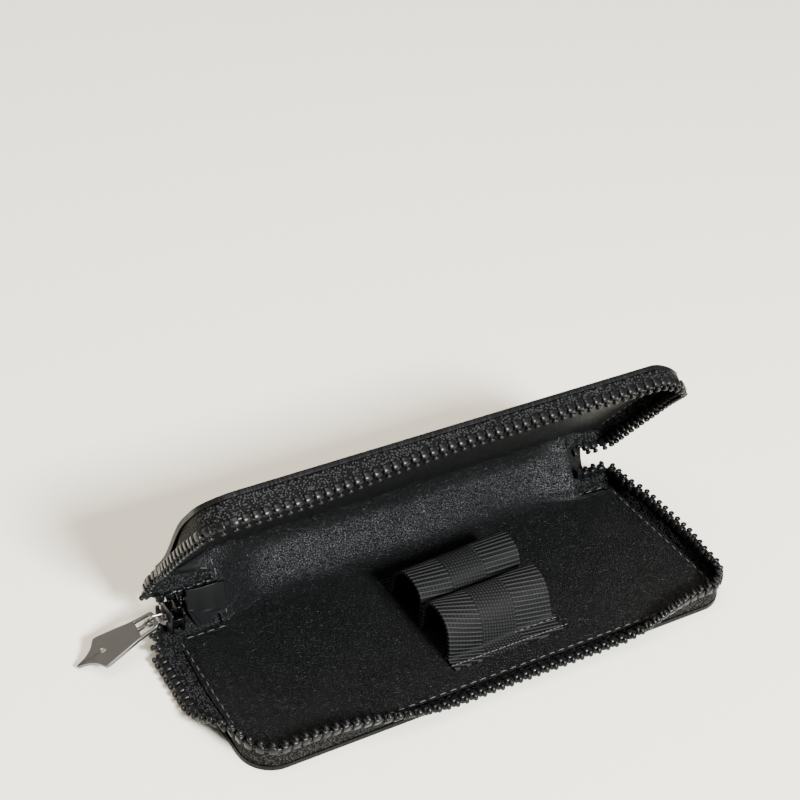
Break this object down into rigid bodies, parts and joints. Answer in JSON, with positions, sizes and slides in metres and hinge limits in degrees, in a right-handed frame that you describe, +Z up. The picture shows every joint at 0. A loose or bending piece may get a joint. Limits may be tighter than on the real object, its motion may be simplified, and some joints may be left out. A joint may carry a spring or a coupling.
{
  "type": "zip-around pen case",
  "caption": "An open zip-around leather case for fountain pens, with elastic pen loops in the base half and a nib-shaped zip puller.",
  "frame": {"origin": "Centre of the underside of the base panel.", "axes": "+X runs along the case away from the zip slider, +Y points to the spine, +Z is up through the base panel."},
  "size_m": [0.1935, 0.0826, 0.0717],
  "materials": {
    "outer_leather": "black fine-grained leather, soft sheen",
    "lining_leather": "black smooth lining leather, satin",
    "board": "grey-brown stiffening board, matt",
    "zip_tape": "black woven tape, matt",
    "zip_teeth": "black moulded teeth, satin",
    "webbing": "black ribbed elastic webbing, matt",
    "gunmetal": "dark gunmetal plating, satin",
    "dark_metal": "black-painted zinc, satin"
  },
  "bodies": {
    "base": {"base_cover": "outer_leather", "base_spine": "outer_leather", "base_stiffener": "board", "base_lining": "lining_leather", "base_zip_tape": "zip_tape", "base_zip_teeth": "zip_teeth", "base_top_stop": "zip_teeth", "joined_zip_teeth": "zip_teeth", "zip_bottom_stop": "zip_teeth", "zip_end_tab": "outer_leather", "pen_loop_band": "webbing", "slider_body": "dark_metal", "slider_bridge": "gunmetal", "slider_cap": "dark_metal"},
    "lid": {"lid_cover": "outer_leather", "lid_spine": "outer_leather", "lid_stiffener": "board", "lid_lining": "lining_leather", "lid_zip_tape": "zip_tape", "lid_zip_teeth": "zip_teeth", "lid_top_stop": "zip_teeth"},
    "link": {"puller_link": "gunmetal"},
    "puller_body": {"puller": "gunmetal"}
  },
  "joints": [
    {"name": "lid_hinge", "type": "hinge", "parent": "base", "child": "lid", "pos_m": [0, 0.03315, 0.012], "axis": [-1, 0, 0], "range_deg": [-52.4, 127.6]},
    {"name": "link_swing", "type": "hinge", "parent": "base", "child": "link", "pos_m": [-0.08375, 0.0246, 0.012], "axis": [0, 0, 1], "range_deg": [-13, 23]},
    {"name": "puller_hinge", "type": "hinge", "parent": "link", "child": "puller_body", "pos_m": [-0.08534, 0.02474, 0.012], "axis": [0.0872, 0.9962, 0], "range_deg": [-34, 108]}
  ]
}
